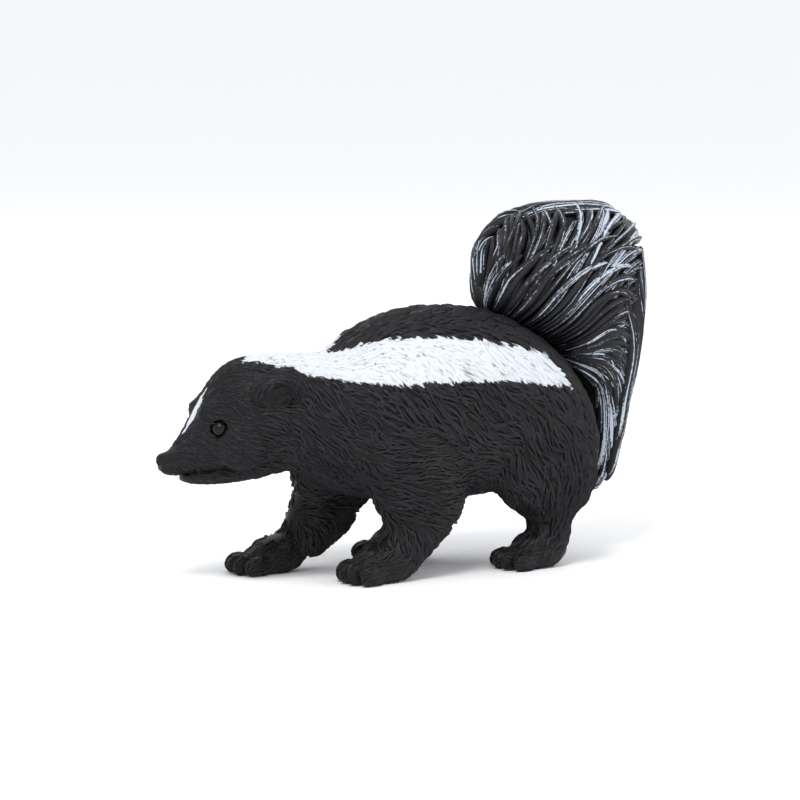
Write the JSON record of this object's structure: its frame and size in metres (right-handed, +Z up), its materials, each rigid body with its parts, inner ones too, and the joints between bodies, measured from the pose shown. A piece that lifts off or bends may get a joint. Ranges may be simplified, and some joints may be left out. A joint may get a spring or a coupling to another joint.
{
  "type": "toy skunk figure",
  "caption": "Moulded plastic toy figure of a striped skunk, walking on all fours with its head low and its plumed tail raised.",
  "frame": {"origin": "middle of the figure's bounding box, at the level that the paws stand on", "axes": "+X the way the figure faces, +Y its left side, +Z up"},
  "size_m": [0.0818, 0.0274, 0.0551],
  "materials": {
    "coat": "satin black moulded plastic with a painted white stripe",
    "tail_coat": "satin black moulded plastic with white dry-brushed ridges",
    "eye_gloss": "gloss black paint"
  },
  "bodies": {
    "root": {"head": "coat", "jaw": "coat", "ear_left": "coat", "ear_right": "coat", "eye_left": "eye_gloss", "eye_right": "eye_gloss", "neck": "coat", "torso": "coat", "leg_front_left": "coat", "leg_front_right": "coat", "leg_hind_left": "coat", "leg_hind_right": "coat", "tail": "tail_coat"}
  },
  "joints": []
}
